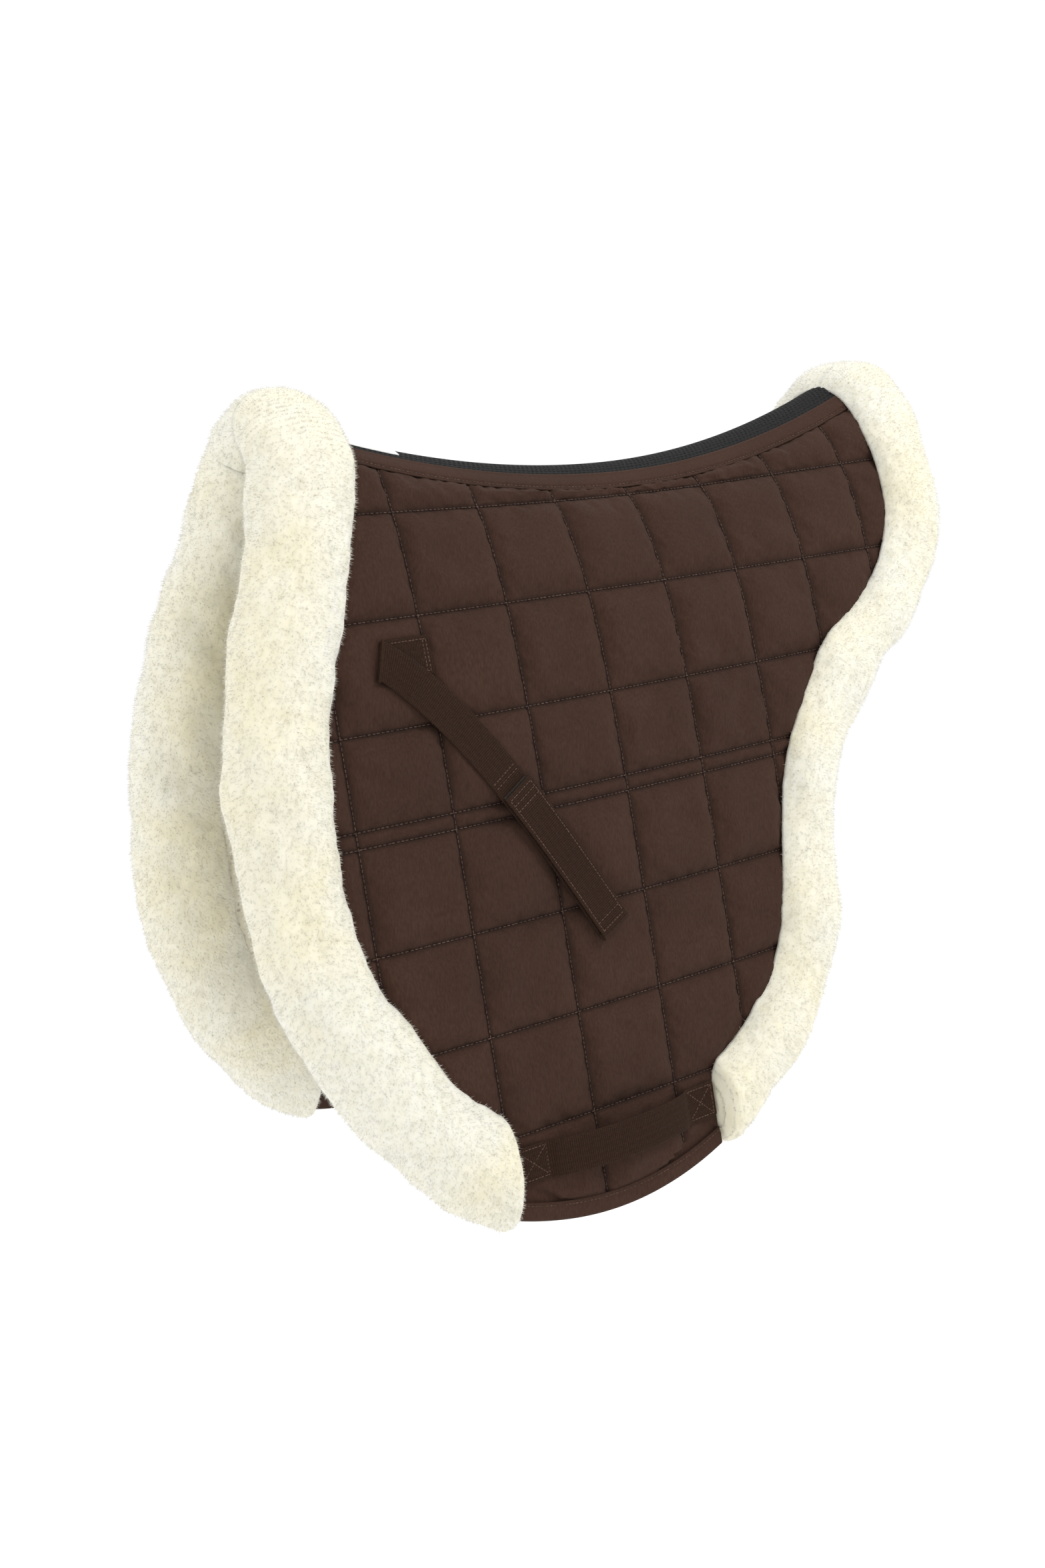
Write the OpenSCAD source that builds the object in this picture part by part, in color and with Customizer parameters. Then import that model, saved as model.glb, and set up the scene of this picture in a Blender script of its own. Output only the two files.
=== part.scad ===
// Quilted saddle pad (numnah) with fleece rolls round its front and rear edges.
// Frame: X runs from the withers (-X) to the loins (+X), the left flap is on the -Y side, +Z is up.
// The origin is on the underside of the spine strip, at the lowest point of the topline.
// A place on the pad is given as [s, t]: s along X, and t down the cloth from the spine seam.
// Outlines are drawn as [s, v]: v is the depth down the cloth from the level of the seam's lowest point.

/* [Topline] */
// Rise of the spine seam 250 mm ahead of its lowest point
front_rise = 38; // [20:1:50]
// Rise of the spine seam 250 mm behind its lowest point
rear_rise = 46; // [20:1:55]
// Half width of the spine strip, from its middle to the seam
seam_half = 30; // [26:1:36]
// Height of the spine strip's crown over its seams
spine_crown = 14.5; // [8:0.5:18]

/* [Flap shape] */
// Sideways slope of the flaps far below the seam
flare = 0.17; // [0.08:0.01:0.25]
// Extra width that the pad gains over the horse's shoulders
shoulder = 40; // [25:1:45]
// Depth over which it gains that width
shoulder_run = 66; // [60:1:90]
// How far the flap curves in, 250 mm from the middle of its bow
bow = 17; // [8:1:20]
// Place of the middle of the flap's bow along X
bow_centre = 92; // [60:1:110]
// Depth of the flap's lowest point
flap_depth = 490; // [470:1:510]
// Rise of the bottom edge from its lowest point to the fleece rolls
bottom_curve = 16; // [8:1:22]

/* [Layers] */
// Thickness of the outer quilted cloth
shell_thick = 4; // [2:0.5:5]
// Thickness of the wadding
wadding_thick = 6; // [4:0.5:8]
// Thickness of the fleece lining
lining_thick = 10; // [6:0.5:11]
// Thickness of the smooth wear panel inside the flap
panel_thick = 1.7; // [1:0.1:2]
// Thickness of the spine strip's spacer mesh
mesh_thick = 6; // [4:0.5:8]

/* [Fleece rolls] */
// Width of the front roll across the flap's face
front_roll_w = 66; // [58:1:72]
// Width of the rear roll across the flap's face
rear_roll_w = 59; // [52:1:64]
// Thickness of the rolls through the flap
roll_thick = 54; // [48:1:60]
// Thickness of the fleece cover round the stuffing
cover_thick = 10; // [8:0.5:12]

/* [Webbing] */
// Width of the webbing straps
web_w = 25; // [20:1:30]
// Thickness of the webbing
web_thick = 1.6; // [1.2:0.1:2]
// How far the girth loop stands off the flap in its middle
loop_bulge = 14; // [12:0.5:16]

/* [Hidden] */

gap = 0.3;                     // between layers and between pieces that move past each other
rise_run = 250;                // distance at which the two rises are stated
crown_run = 34;                // cloth from the spine's middle line to its seam
bow_depth = 60;                // depth over which the flap's bow sets in
origin_z = spine_crown - mesh_thick;

// The cloth's fall follows from its sideways slope, which eases from the seam downwards
fall = sqrt(1 - pow(flare, 2));
dip_run = 0.56 * shoulder_run;
dip = (fall - sqrt(1 - pow(flare + shoulder / shoulder_run, 2))) * dip_run;

// Centre lines of the rolls, as cubic curves from the seam to the bottom edge, in [s, v]
FRONT_LINE = [
    [-266, -35], [-291, 48], [-331, 130],
    [-331, 215], [-331, 300], [-288, 400],
    [-217, 447]
];
REAR_LINE = [
    [262, -40], [270, 20], [262, 92],
    [206, 125], [160, 152], [95, 205],
    [85, 270], [78, 345], [60, 400],
    [-43, 450]
];
front_cut = -217;              // the front roll's cut end
rear_cut = -43;                // the rear roll's cut end
edge_inset = 6;                // the flap's layers stop this far short of the roll's centre line
mesh_from = -260;
mesh_to = 258;
label_from = -225;
label_to = -187;
label_half = 17;
roll_start = 0.03;             // share of the centre line left free at the top for the flap's swing
front_crown = -262;            // place of the front crown along X
front_lean = -4;               // how much further forward the front crown is at the seams
rear_crown = 264;
front_sink = 3;                // how far the middle of the front crown lies below the mesh's face
rear_sink = 12;
crown_end = 4;                 // depth at which the crowns of the rolls end
net_start = 0.02;              // share of the centre lines above the flap's layers
top_gap = 6;                   // free depth below the seam at the middle of the topline
top_gap_rise = 0.22;           // extra free depth for each millimetre that the topline rises

// Offsets from the stitched face of the flap, outwards positive
shell_out = shell_thick - 1;
shell_in = -1;
wadding_out = shell_in - gap;
wadding_in = wadding_out - wadding_thick;
lining_out = wadding_in - gap;
lining_in = lining_out - lining_thick;
roll_mid = (shell_out + lining_in) / 2;
slot_half = 13;                // half height of the slot in a roll, in which the layers are held
core_half = roll_thick / 2 - cover_thick;

// The girth loop, sewn down over its ends
loop_v = 441;
loop_from = -214;
loop_to = -46;
loop_sewn = 26;

// The billet strap: its webbing is sewn on at the root, folds back and runs down the flap
STRAP_LINE = [[-253, 100], [-205, 135], [-165, 200], [-111, 301]];
FOLD_TOP = [-248, 90];
FOLD_BOTTOM = [-255, 115];
root_to = -214;
tab_from = 0.595;              // share of the strap's line at which the closure tab starts
tape_inset = 1.5;
root_out = shell_out + gap + web_thick;
strap_in = root_out + gap;
strap_out = strap_in + web_thick;
tape_thick = 1;
sewn_gap = 0.1;                // between the webbing and the tape sewn on it
loop_tape_in = strap_out + sewn_gap;
hook_tape_in = loop_tape_in + tape_thick + gap;
tab_in = hook_tape_in + tape_thick + sewn_gap;

function unit(p) = p / norm(p);
function lerp(a, b, w) = a + (b - a) * w;
function rise(s) = (s < 0 ? front_rise : rear_rise) * pow(s / rise_run, 2);
function depth(q) = q[1] + rise(q[0]);

// The pad's stitched face on the left side: the spine strip where t < 0, and the flap where t > 0
function half_width(s, t) =
    t < 0 ? seam_half * (1 + t / crown_run)
          : seam_half + flare * t + shoulder * (1 - exp(-t / shoulder_run))
            - bow * t / (t + bow_depth) * pow((s - bow_centre) / rise_run, 2);
function height(s, t) =
    rise(s) - origin_z
    + (t < 0 ? spine_crown * (1 - pow(1 + t / crown_run, 2))
             : dip * (1 - exp(-t / dip_run)) - fall * t);
function face(s, t) = [s, -half_width(s, t), height(s, t)];
function outward(s, t) =
    unit(cross(face(s, t + 1) - face(s, t - 1), face(s + 1, t) - face(s - 1, t)));
function place(s, t, n) = face(s, t) + n * outward(s, t);
function place_q(q, n) = place(q[0], depth(q), n);

// A chain of cubic curves, with w from 0 to 1 along the whole chain
function cubic(p, i, u) =
    p[i] * pow(1 - u, 3) + 3 * p[i + 1] * u * pow(1 - u, 2)
    + 3 * p[i + 2] * pow(u, 2) * (1 - u) + p[i + 3] * pow(u, 3);
function along(p, w) =
    let (count = (len(p) - 1) / 3, k = min(floor(w * count), count - 1))
    cubic(p, 3 * k, w * count - k);
function heading(p, w) = unit(along(p, min(w + 0.01, 1)) - along(p, max(w - 0.01, 0)));
function beside(p, w, d) = along(p, w) + d * [heading(p, w)[1], -heading(p, w)[0]];

function bottom_v(s) =
    let (middle = (front_cut + rear_cut) / 2, half = (rear_cut - front_cut) / 2)
    flap_depth - bottom_curve * pow((s - middle) / half, 2);

// The flap's layers as a net of [s, t]: p runs from the front edge to the rear edge, w down the flap.
// The topmost row follows the seam, and each row below it is less curved.
function top_v(s) = top_gap - rise(s) * (1 - top_gap_rise);
function net_point(p, w) =
    let (
        down = lerp(net_start, 1, w),
        a = beside(FRONT_LINE, down, edge_inset),
        b = beside(REAR_LINE, down, -edge_inset),
        q = lerp(a, b, p),
        curve = top_v(q[0]) - lerp(top_v(a[0]), top_v(b[0]), p)
    )
    [q[0], depth([q[0], q[1] + curve * pow(1 - w, 2)])];
function bottom_point(p, lift) =
    let (s = lerp(front_cut + 1, rear_cut - 1, p))
    [s, depth([s, bottom_v(s) - lift])];
function flap_net(rows, columns, lift) = concat(
    [for (i = [0:rows - 1]) [for (j = [0:columns]) net_point(j / columns, i / (rows - 1))]],
    [[for (j = [0:columns]) bottom_point(j / columns, lift)]]
);
function raise(net, n) = [for (row = net) [for (q = row) place(q[0], q[1], n)]];

// A closed sheet between two equal nets of points, the outer one first
module sheet_solid(outer, inner) {
    rows = len(outer);
    columns = len(outer[0]);
    total = rows * columns;
    quads = concat(
        [for (i = [0:rows - 2]) for (j = [0:columns - 2])
            let (a = i * columns + j) [a, a + 1, a + columns + 1, a + columns]],
        [for (i = [0:rows - 2]) for (j = [0:columns - 2])
            let (a = total + i * columns + j) [a, a + columns, a + columns + 1, a + 1]],
        [for (j = [0:columns - 2]) [total + j, total + j + 1, j + 1, j]],
        [for (j = [0:columns - 2])
            let (a = total - columns + j) [a, a + 1, total + a + 1, total + a]],
        [for (i = [0:rows - 2])
            let (a = i * columns) [a, a + columns, total + a + columns, total + a]],
        [for (i = [0:rows - 2])
            let (a = (i + 1) * columns - 1) [a + columns, a, total + a, total + a + columns]]
    );
    points = concat([for (row = outer) for (p = row) p], [for (row = inner) for (p = row) p]);
    faces = [for (q = quads) for (f = [[q[0], q[1], q[2]], [q[0], q[2], q[3]]]) f];
    polyhedron(points, faces);
}

module layer(net, out, in) { sheet_solid(raise(net, out), raise(net, in)); }

// A closed solid through a row of equal rings. Its ends are the polygons that cap lists.
module ring_solid(rings, cap, turned = false) {
    count = len(rings[0]);
    last = len(rings) - 1;
    sides = [for (k = [0:last - 1]) for (j = [0:count - 1])
        let (a = k * count + j, b = k * count + (j + 1) % count)
        for (f = [[a, b, b + count], [a, b + count, a + count]]) f];
    first_cap = [for (f = cap) [for (j = [len(f) - 1:-1:0]) f[j]]];
    last_cap = [for (f = cap) [for (j = f) last * count + j]];
    faces = concat(sides, first_cap, last_cap);
    polyhedron(
        [for (ring = rings) for (p = ring) p],
        turned ? faces : [for (f = faces) [for (j = [len(f) - 1:-1:0]) f[j]]]
    );
}

// Section of a roll's cover: an oval of fleece that grips the flap's edge in a slot
function cover_section(w) =
    let (b = roll_thick / 2, lip = 180 - asin(slot_half / b), core = w / 2 - cover_thick)
    concat(
        [for (k = [-5:5]) [w / 2 * cos(k * lip / 5), b * sin(k * lip / 5)]],
        [[0, slot_half]],
        [for (k = [2:-1:-2]) [core * cos(45 * k), core_half * sin(45 * k)]],
        [[0, -slot_half]]
    );
COVER_CAP = [
    [0, 1, 16, 17], [1, 2, 16], [2, 3, 15, 16], [3, 4, 15], [4, 5, 14, 15],
    [5, 6, 13, 14], [6, 7, 13], [7, 8, 12, 13], [8, 9, 12], [9, 10, 11, 12]
];
function core_section(w) =
    let (core = w / 2 - cover_thick - 2 * gap)
    [for (k = [2:-1:-2]) [gap + core * cos(45 * k), (core_half - gap) * sin(45 * k)]];
CORE_CAP = [[0, 1, 2, 3, 4]];

// Rings of a roll along its centre line. The roll's end is cut square to X.
function roll_ring(line, side, w, section, cut) =
    let (
        q = along(line, w),
        step = place_q(along(line, min(w + 0.01, 1)), 0) - place_q(along(line, max(w - 0.01, 0)), 0),
        run = unit(step),
        up = outward(q[0], depth(q)),
        out = side * unit(cross(run, up)),
        centre = place_q(q, roll_mid)
    )
    [for (e = section)
        let (p = centre + e[0] * out + e[1] * up)
        w < 1 ? p : p + run * (cut - p[0]) / run[0]];
function roll_rings(line, side, section, cut, steps) =
    [for (k = [0:steps])
        let (w = k == steps ? 1 : roll_start + (0.93 - roll_start) * k / (steps - 1))
        roll_ring(line, side, w, section, cut)];

// Rings of a crown, from the left seam over the spine to the right seam. Its centre lies sink below the
// mesh in the middle, and at the seams it meets the centre of the flap's roll.
function crown_ring(s, lean, sink, side, a, section) =
    let (
        t = abs(a) - crown_run,
        mirror_y = a < 0 ? 1 : -1,
        x = s + lean * (t + crown_run) / crown_run,
        n = a == 0 ? [0, 0, 1] : outward(x, t),
        up = unit([0, n[1], n[2]]),
        centre = face(x, t) - lerp(sink, -roll_mid, min(1, (t + crown_run) / crown_run)) * up
    )
    [for (e = section)
        let (p = centre + [side * e[0], e[1] * up[1], e[1] * up[2]])
        [p[0], mirror_y * p[1], p[2]]];
function crown_rings(s, lean, sink, side, section) =
    let (reach = crown_run + crown_end)
    [for (k = [-5:5]) crown_ring(s, lean, sink, side, reach * k / 5, section)];
module crown_cover(s, lean, sink, side, w) {
    color("#f3efe0")
        ring_solid(crown_rings(s, lean, sink, side, cover_section(w)), COVER_CAP, side < 0);
}
module crown_core(s, lean, sink, side, w) {
    color("#dcd9d0")
        ring_solid(crown_rings(s, lean, sink, side, core_section(w)), CORE_CAP, side > 0);
}

module spine_sheet(from_s, to_s, steps, half, out, in) {
    net = [for (k = [-4:4]) [for (i = [0:steps]) [lerp(from_s, to_s, i / steps), half * k / 4]]];
    function over(n) = [for (row = net) [for (q = row)
        let (p = place(q[0], abs(q[1]) - crown_run, n)) [p[0], (q[1] > 0 ? 1 : -1) * p[1], p[2]]]];
    sheet_solid(
        [for (i = [8:-1:0]) over(out)[i]],
        [for (i = [8:-1:0]) over(in)[i]]
    );
}

module spine_mesh() {
    color("#1b1a1c") spine_sheet(mesh_from, mesh_to, 16, crown_run, 0, -mesh_thick);
}

module spine_label() {
    color("#eeeeea") spine_sheet(label_from, label_to, 2, label_half, 1, 0.2);
}

module spine_binding() {
    net = [for (t = [-14, -7.5, -1]) [for (s = [-240:40:240]) [s, t]]];
    color("#4b342c") layer(net, 2.3, gap);
}

module shell() {
    color("#4b342c") layer(flap_net(10, 10, 0), shell_out, shell_in);
}

module wadding() {
    color("#e9e6df") layer(flap_net(10, 10, 1), wadding_out, wadding_in);
}

module lining() {
    color("#efe6cf") layer(flap_net(10, 10, 1), lining_out, lining_in);
}

// The smooth panel lies on the lining, where the girth and the stirrup bars rub
module wear_panel() {
    net = [for (w = [0.47:0.09:0.93]) [for (p = [0.2:0.15:0.8]) net_point(p, w)]];
    color("#e6e2d4") layer(net, lining_in - gap, lining_in - gap - panel_thick);
}

module roll_cover(line, side, w, cut, steps) {
    color("#f3efe0")
        ring_solid(roll_rings(line, side, cover_section(w), cut, steps), COVER_CAP, side < 0);
}

module roll_core(line, side, w, cut, steps) {
    color("#dcd9d0")
        ring_solid(roll_rings(line, side, core_section(w), cut, steps), CORE_CAP, side > 0);
}

// Bias tape folded over the bottom edge between the two rolls
module bottom_binding() {
    lip = 11;
    thick = 1.2;
    function rail(n, drop) = [for (j = [0:8])
        let (s = lerp(front_cut + 1, rear_cut - 1, j / 8))
        place(s, depth([s, bottom_v(s) + drop]), n)];
    out = shell_out + gap;
    in = lining_in - gap;
    color("#4b342c") ring_solid([for (j = [0:8]) [
        rail(out + thick, -lip)[j], rail(out + thick, thick + gap)[j],
        rail(in - thick, thick + gap)[j], rail(in - thick, -lip)[j],
        rail(in, -lip)[j], rail(in, gap)[j], rail(out, gap)[j], rail(out, -lip)[j]
    ]], [[0, 1, 6, 7], [1, 2, 5, 6], [2, 3, 4, 5]]);
}

module girth_loop() {
    steps = 16;
    function stand(s) =
        let (u = (s - loop_from - loop_sewn) / (loop_to - loop_from - 2 * loop_sewn))
        shell_out + gap + (u > 0 && u < 1 ? loop_bulge * sqrt(sin(180 * u)) : 0);
    function net(extra) = [for (d = [-0.5, 0.5]) [for (i = [0:steps])
        let (s = lerp(loop_from, loop_to, i / steps))
        place(s, depth([s, loop_v + d * web_w]), stand(s) + extra)]];
    color("#4e362d") sheet_solid(net(web_thick), net(0));
}

// The webbing's end, sewn flat on the flap as far as the fold
module strap_root() {
    rows = [for (q = [FOLD_TOP, FOLD_BOTTOM]) [q + [2, 0], [root_to, q[1]]]];
    color("#4e362d") layer([for (row = rows) [for (q = row) [q[0], depth(q)]]], root_out, shell_out + gap);
}

// A strip on the strap's line between two shares of it
function strap_net(from_w, to_w, half, steps) = [for (d = [-1, 1]) [for (i = [0:steps])
    let (
        w = lerp(from_w, to_w, i / steps),
        turn = heading(STRAP_LINE, w),
        fold = unit(FOLD_BOTTOM - FOLD_TOP),
        across = unit(lerp(fold, [-turn[1], turn[0]], min(1, 5 * w))),
        q = along(STRAP_LINE, w) + d * half * across
    )
    [q[0], depth(q)]]];

module billet_strap() {
    color("#4e362d") layer(strap_net(0, 1, web_w / 2, 12), strap_out, strap_in);
}

module loop_tape() {
    net = strap_net(tab_from, 0.99, web_w / 2 - tape_inset, 6);
    color("#221b18") layer(net, loop_tape_in + tape_thick, loop_tape_in);
}

module hook_tape() {
    net = strap_net(tab_from + 0.01, 0.99, web_w / 2 - tape_inset, 6);
    color("#221b18") layer(net, hook_tape_in + tape_thick, hook_tape_in);
}

module closure_tab() {
    color("#4e362d") layer(strap_net(tab_from, 1, web_w / 2, 6), tab_in + web_thick, tab_in);
}

module right() { mirror([0, 1, 0]) children(); }

spine_mesh();
spine_binding();  // left_spine_binding
right() spine_binding();  // right_spine_binding
spine_label();
crown_cover(front_crown, front_lean, front_sink, -1, front_roll_w);  // front_crown_cover
crown_core(front_crown, front_lean, front_sink, -1, front_roll_w);  // front_crown_core
crown_cover(rear_crown, 0, rear_sink, 1, rear_roll_w);  // rear_crown_cover
crown_core(rear_crown, 0, rear_sink, 1, rear_roll_w);  // rear_crown_core

shell();  // left_shell
wadding();  // left_wadding
lining();  // left_lining
wear_panel();  // left_wear_panel
roll_cover(FRONT_LINE, 1, front_roll_w, front_cut, 16);  // left_front_roll_cover
roll_core(FRONT_LINE, 1, front_roll_w, front_cut, 16);  // left_front_roll_core
roll_cover(REAR_LINE, -1, rear_roll_w, rear_cut, 16);  // left_rear_roll_cover
roll_core(REAR_LINE, -1, rear_roll_w, rear_cut, 16);  // left_rear_roll_core
bottom_binding();  // left_bottom_binding
girth_loop();  // left_girth_loop
strap_root();  // left_strap_root
billet_strap();  // left_billet_strap
loop_tape();  // left_loop_tape
closure_tab();  // left_closure_tab
hook_tape();  // left_hook_tape

right() shell();  // right_shell
right() wadding();  // right_wadding
right() lining();  // right_lining
right() wear_panel();  // right_wear_panel
right() roll_cover(FRONT_LINE, 1, front_roll_w, front_cut, 16);  // right_front_roll_cover
right() roll_core(FRONT_LINE, 1, front_roll_w, front_cut, 16);  // right_front_roll_core
right() roll_cover(REAR_LINE, -1, rear_roll_w, rear_cut, 16);  // right_rear_roll_cover
right() roll_core(REAR_LINE, -1, rear_roll_w, rear_cut, 16);  // right_rear_roll_core
right() bottom_binding();  // right_bottom_binding
right() girth_loop();  // right_girth_loop
right() strap_root();  // right_strap_root
right() billet_strap();  // right_billet_strap
right() loop_tape();  // right_loop_tape
right() closure_tab();  // right_closure_tab
right() hook_tape();  // right_hook_tape
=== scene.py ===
"""A quilted saddle pad with fleece rolls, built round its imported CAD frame.

Places on the pad follow the CAD design: s runs along X, t runs down the cloth from the spine seam, v is the
depth below the seam's lowest point, and n is the offset outwards from the stitched face. All four are in
millimetres. The left side is built, and the right side is its mirror image.
"""
import math

import bpy
import numpy as np
from mathutils import Matrix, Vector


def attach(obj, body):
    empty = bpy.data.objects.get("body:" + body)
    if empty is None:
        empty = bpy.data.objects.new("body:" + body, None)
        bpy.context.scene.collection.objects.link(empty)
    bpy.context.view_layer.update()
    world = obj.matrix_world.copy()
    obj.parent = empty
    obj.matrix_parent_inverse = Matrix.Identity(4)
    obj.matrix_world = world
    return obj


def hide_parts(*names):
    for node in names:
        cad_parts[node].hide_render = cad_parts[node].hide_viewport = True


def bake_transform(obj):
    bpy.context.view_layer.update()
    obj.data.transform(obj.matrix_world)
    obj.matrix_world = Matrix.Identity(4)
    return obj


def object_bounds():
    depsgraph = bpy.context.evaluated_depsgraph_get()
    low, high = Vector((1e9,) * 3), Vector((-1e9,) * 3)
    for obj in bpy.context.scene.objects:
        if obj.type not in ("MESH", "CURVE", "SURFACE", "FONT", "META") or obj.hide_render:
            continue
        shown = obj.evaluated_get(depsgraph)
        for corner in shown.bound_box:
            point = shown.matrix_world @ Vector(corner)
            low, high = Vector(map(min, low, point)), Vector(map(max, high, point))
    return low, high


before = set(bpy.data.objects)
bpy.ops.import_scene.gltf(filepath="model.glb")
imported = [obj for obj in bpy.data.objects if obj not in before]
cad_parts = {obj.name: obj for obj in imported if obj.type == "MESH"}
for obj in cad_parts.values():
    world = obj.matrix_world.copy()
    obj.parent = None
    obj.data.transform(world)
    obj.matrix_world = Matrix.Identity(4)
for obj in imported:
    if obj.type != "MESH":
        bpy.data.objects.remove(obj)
CAD_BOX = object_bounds()
MM = 0.001

# ---- the design's driving dimensions
FRONT_RISE, REAR_RISE, RISE_RUN = 38, 46, 250
SEAM_HALF, SPINE_CROWN, MESH_THICK, CROWN_RUN = 30, 14.5, 6, 34
FLARE, SHOULDER, SHOULDER_RUN = 0.17, 40, 66
BOW, BOW_CENTRE, BOW_DEPTH = 17, 92, 60
FLAP_DEPTH, BOTTOM_CURVE = 490, 16
FRONT_CUT, REAR_CUT = -217, -43
SHELL_OUT, WADDING_IN, LINING_OUT, LINING_IN = 3, -7.3, -7.6, -17.6
FRONT_ROLL_W, REAR_ROLL_W, ROLL_THICK = 66, 59, 54
ROLL_MID = (SHELL_OUT + LINING_IN) / 2
WEB_W, WEB_THICK, GAP, SEWN_GAP, TAPE_THICK, LOOP_BULGE = 25, 1.6, 0.3, 0.1, 1, 14
FRONT_LINE = [(-266, -35), (-291, 48), (-331, 130), (-331, 215), (-331, 300), (-288, 400), (-217, 447)]
REAR_LINE = [(262, -40), (270, 20), (262, 92), (206, 125), (160, 152), (95, 205), (85, 270), (78, 345),
             (60, 400), (-43, 450)]
STRAP_LINE = [(-253, 100), (-205, 135), (-165, 200), (-111, 301)]
FOLD_TOP, FOLD_BOTTOM, ROOT_TO, TAB_FROM = (-248, 90), (-255, 115), -214, 0.595
LOOP_V, LOOP_FROM, LOOP_TO, LOOP_SEWN = 441, -214, -46, 26

# Quilting: columns every 70 mm, rows every 69 mm, and one row doubled
COLUMN_PITCH, COLUMN_AT, ROW_PITCH, ROW_AT, LAST_ROW = 70, -215, 69, 8, 6
DOUBLE_ROW, DOUBLE_GAP = 215, 10.62
CELL_STEPS = 26

ORIGIN_Z = SPINE_CROWN - MESH_THICK
FALL = math.sqrt(1 - FLARE ** 2)
DIP_RUN = 0.56 * SHOULDER_RUN
DIP = (FALL - math.sqrt(1 - (FLARE + SHOULDER / SHOULDER_RUN) ** 2)) * DIP_RUN


def rise(s):
    return np.where(s < 0, FRONT_RISE, REAR_RISE) * (s / RISE_RUN) ** 2


def face(s, t):
    """Points of the pad's stitched face on the left side, in millimetres."""
    s, t = np.broadcast_arrays(np.asarray(s, float), np.asarray(t, float))
    down = np.maximum(t, 0)
    bow = BOW * down / (down + BOW_DEPTH) * ((s - BOW_CENTRE) / RISE_RUN) ** 2
    flap_y = SEAM_HALF + FLARE * down + SHOULDER * (1 - np.exp(-down / SHOULDER_RUN)) - bow
    flap_z = DIP * (1 - np.exp(-down / DIP_RUN)) - FALL * down
    y = np.where(t < 0, SEAM_HALF * (1 + t / CROWN_RUN), flap_y)
    z = rise(s) - ORIGIN_Z + np.where(t < 0, SPINE_CROWN * (1 - (1 + t / CROWN_RUN) ** 2), flap_z)
    return np.stack([s, -y, z], -1)


def unit(v):
    return v / np.maximum(np.linalg.norm(v, axis=-1, keepdims=True), 1e-9)


def outward(s, t):
    return unit(np.cross(face(s, t + 1) - face(s, t - 1), face(s + 1, t) - face(s - 1, t)))


def place(s, v, n=0.0):
    """The point at [s, v], n outwards from the stitched face."""
    s, v = np.asarray(s, float), np.asarray(v, float)
    t = v + rise(s)
    return face(s, t) + np.asarray(n, float)[..., None] * outward(s, t)


def lengths(points):
    """The distance from the first point to each point of a row."""
    return np.concatenate([[0], np.cumsum(np.linalg.norm(np.diff(points, axis=0), axis=1))])


def sampled(at, run, rows):
    """Rows of values that stand at distances run, interpolated at the distances at."""
    return np.stack([np.interp(at, run, column) for column in rows.T], -1)


def along(line, w):
    """Points at shares w of a chain of cubic curves."""
    p = np.array(line, float)
    count = (len(p) - 1) // 3
    w = np.clip(np.asarray(w, float), 0, 1) * count
    k = np.minimum(w.astype(int), count - 1)
    u = (w - k)[..., None]
    a, b, c, d = (p[3 * k + i] for i in range(4))
    return a * (1 - u) ** 3 + 3 * b * u * (1 - u) ** 2 + 3 * c * u ** 2 * (1 - u) + d * u ** 3


def bottom_v(s):
    middle, half = (FRONT_CUT + REAR_CUT) / 2, (REAR_CUT - FRONT_CUT) / 2
    return FLAP_DEPTH - BOTTOM_CURVE * ((s - middle) / half) ** 2


def ripple(points, scale, seed, waves=18):
    """Smooth noise of about unit size: a sum of plane waves in seeded directions."""
    rng = np.random.default_rng(seed)
    ways = unit(rng.normal(size=(waves, 3))) * (2 * math.pi / scale) * rng.uniform(0.6, 1.4, (waves, 1))
    phase = rng.uniform(0, 2 * math.pi, waves)
    flat = points.reshape(-1, 3)
    total = np.zeros(len(flat))
    for way, start in zip(ways, phase):
        total += np.sin(flat @ way + start)
    return (total * math.sqrt(2 / waves)).reshape(points.shape[:-1])


# ---- meshes
def new_mesh(name, points, faces, material, smooth=True):
    """A mesh object from points in millimetres and a list of face arrays."""
    mesh = bpy.data.meshes.new(name)
    sizes = np.concatenate([np.full(len(f), f.shape[1]) for f in faces])
    corners = np.concatenate([f.reshape(-1) for f in faces]).astype(np.int32)
    mesh.vertices.add(len(points))
    mesh.vertices.foreach_set("co", (np.asarray(points) * MM).astype(np.float32).reshape(-1))
    mesh.loops.add(len(corners))
    mesh.loops.foreach_set("vertex_index", corners)
    mesh.polygons.add(len(sizes))
    mesh.polygons.foreach_set("loop_start", np.concatenate([[0], np.cumsum(sizes)[:-1]]).astype(np.int32))
    mesh.polygons.foreach_set("loop_total", sizes.astype(np.int32))
    mesh.polygons.foreach_set("use_smooth", np.full(len(sizes), smooth))
    mesh.update(calc_edges=True)
    mesh.validate()
    mesh.materials.append(material)
    piece = bpy.data.objects.new(name, mesh)
    bpy.context.scene.collection.objects.link(piece)
    return piece


def grid_quads(rows, columns):
    i, j = np.meshgrid(np.arange(rows - 1), np.arange(columns - 1), indexing="ij")
    a = (i * columns + j).reshape(-1)
    return np.stack([a, a + columns, a + columns + 1, a + 1], -1)


def with_tone(grid, tone):
    return np.concatenate([grid, tone[..., None]], -1)


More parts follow.
